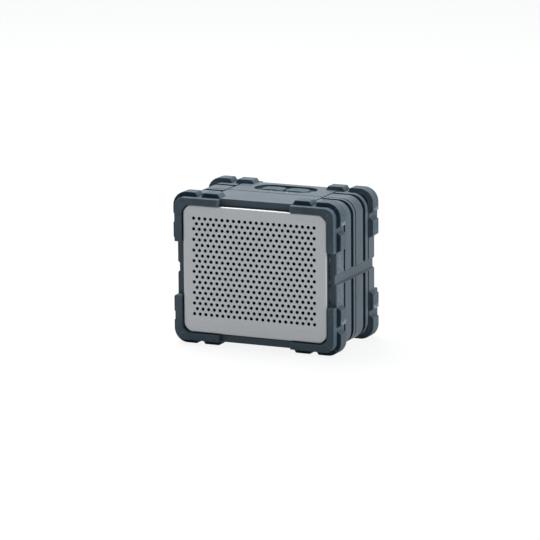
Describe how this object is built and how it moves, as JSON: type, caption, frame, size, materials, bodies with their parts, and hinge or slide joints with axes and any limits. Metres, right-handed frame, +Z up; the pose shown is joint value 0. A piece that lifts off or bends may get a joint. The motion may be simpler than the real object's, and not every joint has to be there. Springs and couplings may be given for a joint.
{
  "type": "rugged portable speaker",
  "caption": "Rugged box-shaped portable speaker with a blue-grey rubber case, raised corner guards, a perforated silver front grille and keys in a recess on the top.",
  "frame": {"origin": "centre of the bounding box's bottom, on the surface that the lower guards stand on", "axes": "+X to the right seen from the grille, +Y from the grille to the rear panel, +Z up"},
  "size_m": [0.1462, 0.0886, 0.1234],
  "materials": {
    "case_rubber": "soft matt blue-grey rubber coat",
    "guard_rubber": "moulded matt blue-grey rubber with a faint sheen",
    "grille_paint": "satin silver paint with a fine grain",
    "cloth": "black acoustic cloth",
    "gasket_rubber": "matt black",
    "black_plastic": "fine matt texture",
    "cone_paper": "matt pressed paper",
    "steel": "plated steel",
    "copper": "wound copper",
    "tin_plate": "bright tin plate",
    "board_laminate": "green solder mask",
    "lead_sleeve": "smooth sleeve",
    "capacitor_sleeve": "shrink sleeve",
    "cell_wrap": "shrink wrap",
    "light_guide": "clear with a frosted end"
  },
  "bodies": {
    "case": {"front_shell": "case_rubber", "rear_shell": "case_rubber", "case_gasket": "gasket_rubber", "case_screws": "steel", "front_guard_top_left": "guard_rubber", "front_guard_top_right": "guard_rubber", "front_guard_bottom_left": "guard_rubber", "front_guard_bottom_right": "guard_rubber", "rear_guard_top_left": "guard_rubber", "rear_guard_top_right": "guard_rubber", "rear_guard_bottom_left": "guard_rubber", "rear_guard_bottom_right": "guard_rubber", "grille": "grille_paint", "grille_cloth": "cloth", "baffle": "black_plastic", "baffle_gasket": "gasket_rubber", "baffle_screws": "steel", "left_basket": "steel", "left_magnet": "steel", "left_surround": "gasket_rubber", "right_basket": "steel", "right_magnet": "steel", "right_surround": "gasket_rubber", "driver_screws": "steel", "speaker_leads": "lead_sleeve", "rear_panel": "case_rubber", "rear_panel_gasket": "gasket_rubber", "rear_panel_screws": "steel", "flap_pin": "steel", "main_board": "board_laminate", "main_board_screws": "steel", "radio_module": "tin_plate", "amplifier": "black_plastic", "capacitors": "capacitor_sleeve", "charging_socket": "tin_plate", "audio_jack": "black_plastic", "power_switch": "tin_plate", "battery_cells": "cell_wrap", "battery_tray": "black_plastic", "battery_cover": "black_plastic", "battery_screws": "steel", "battery_lead": "lead_sleeve", "key_board": "board_laminate", "key_board_screws": "steel", "key_switches": "black_plastic", "key_gasket": "gasket_rubber", "key_ribbon": "lead_sleeve", "indicator_lights": "light_guide"},
    "left_key": {"left_key": "guard_rubber"},
    "right_key": {"right_key": "guard_rubber"},
    "left_cone": {"left_cone": "cone_paper", "left_dust_cap": "cone_paper", "left_voice_coil": "copper"},
    "right_cone": {"right_cone": "cone_paper", "right_dust_cap": "cone_paper", "right_voice_coil": "copper"},
    "port_flap": {"port_flap": "guard_rubber"},
    "power_slider": {"power_slider": "black_plastic"}
  },
  "joints": [
    {"name": "left_key_press", "type": "slide", "parent": "case", "child": "left_key", "axis": [0, 0, -1], "range_m": [0, 0.0008], "stiffness_N_per_m": 2000, "springref_m": -0.0002},
    {"name": "right_key_press", "type": "slide", "parent": "case", "child": "right_key", "axis": [0, 0, -1], "range_m": [0, 0.0008], "stiffness_N_per_m": 2000, "springref_m": -0.0002},
    {"name": "left_cone_stroke", "type": "slide", "parent": "case", "child": "left_cone", "axis": [0, -1, 0], "range_m": [-0.0015, 0.0015], "stiffness_N_per_m": 900},
    {"name": "right_cone_stroke", "type": "slide", "parent": "case", "child": "right_cone", "axis": [0, -1, 0], "range_m": [-0.0015, 0.0015], "stiffness_N_per_m": 900},
    {"name": "port_flap_hinge", "type": "hinge", "parent": "case", "child": "port_flap", "pos_m": [0, 0.0384, 0.032], "axis": [-1, 0, 0], "range_deg": [0, 90]},
    {"name": "power_slider_slide", "type": "slide", "parent": "case", "child": "power_slider", "axis": [1, 0, 0], "range_m": [0, 0.003]}
  ]
}
